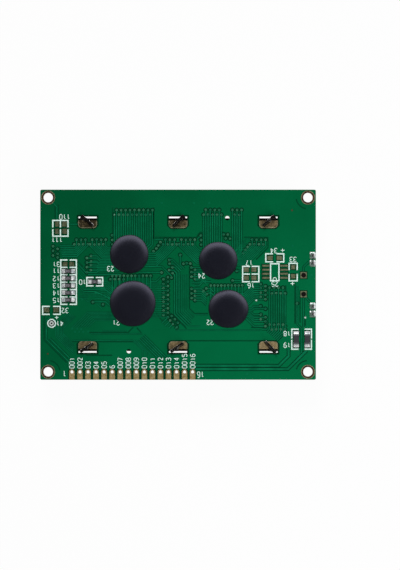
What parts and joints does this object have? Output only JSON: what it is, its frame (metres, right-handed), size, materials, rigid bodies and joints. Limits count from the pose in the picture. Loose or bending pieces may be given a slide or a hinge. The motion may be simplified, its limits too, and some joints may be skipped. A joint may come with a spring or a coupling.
{
  "type": "character lcd module",
  "caption": "Back of a character display module: circuit board with resin-covered driver chips, chip resistors and a header row, clamped by a black steel bezel's twisted tabs.",
  "frame": {"origin": "centre of the bezel's front face, which the module lies on", "axes": "+X along the board's long side, +Y away from the header row, +Z out of the board's back"},
  "size_m": [0.087, 0.06, 0.0122],
  "materials": {
    "black_resin": "black encapsulating resin",
    "cell_seal": "cured epoxy",
    "clear_acrylic": "clear acrylic",
    "contact_rubber": "silicone rubber with conducting layers",
    "diffuser_film": "white diffusing film",
    "display_glass": "clear float glass",
    "gold_pad": "thin gold flash, dulled",
    "lamp_board": "white-faced laminate",
    "led_chip": "light-emitting chip",
    "masked_copper": "copper under green solder mask",
    "painted_steel": "black painted sheet steel",
    "polarizer_film": "grey-green polarizing film",
    "resistor_body": "black glazed ceramic",
    "resistor_metal": "plated end metal",
    "silicon": "bare silicon",
    "solder": "bright solder",
    "solder_mask": "green solder mask over glass-fibre laminate",
    "tinned_lead": "tinned copper strip",
    "tinned_pad": "tinned copper land",
    "white_ink": "white screen-printed ink",
    "white_plastic": "white moulded plastic"
  },
  "bodies": {
    "root": {"backlight_housing": "white_plastic", "backlight_lead_1": "tinned_lead", "backlight_lead_2": "tinned_lead", "backlight_lead_3": "tinned_lead", "backlight_lead_4": "tinned_lead", "backlight_leds": "led_chip", "backlight_terminals": "gold_pad", "bezel": "painted_steel", "cell_seal": "cell_seal", "circuit_board": "solder_mask", "contact_strip_lower": "contact_rubber", "contact_strip_upper": "contact_rubber", "copper_traces": "masked_copper", "diffuser_sheet": "diffuser_film", "driver_die_u1": "silicon", "driver_die_u2": "silicon", "driver_die_u3": "silicon", "driver_die_u4": "silicon", "empty_pads": "gold_pad", "ends_r1": "resistor_metal", "ends_r2": "resistor_metal", "ends_r3": "resistor_metal", "ends_r4": "resistor_metal", "ends_r5": "resistor_metal", "ends_r8": "resistor_metal", "ends_r9": "resistor_metal", "ends_rf": "resistor_metal", "front_glass": "display_glass", "front_polarizer": "polarizer_film", "header_pads": "gold_pad", "lead_joint_1": "solder", "lead_joint_2": "solder", "lead_joint_3": "solder", "lead_joint_4": "solder", "led_board": "lamp_board", "light_guide": "clear_acrylic", "mounting_pads": "gold_pad", "printed_outlines": "white_ink", "rear_glass": "display_glass", "rear_polarizer": "polarizer_film", "resin_drop_u1": "black_resin", "resin_drop_u2": "black_resin", "resin_drop_u3": "black_resin", "resin_drop_u4": "black_resin", "resistor_r1": "resistor_body", "resistor_r2": "resistor_body", "resistor_r3": "resistor_body", "resistor_r4": "resistor_body", "resistor_r5": "resistor_body", "resistor_r8": "resistor_body", "resistor_r9": "resistor_body", "resistor_rf": "resistor_body", "resistor_solder": "solder", "soldered_pads": "tinned_pad", "tab_pads": "gold_pad", "test_lands": "tinned_pad"}
  },
  "joints": []
}
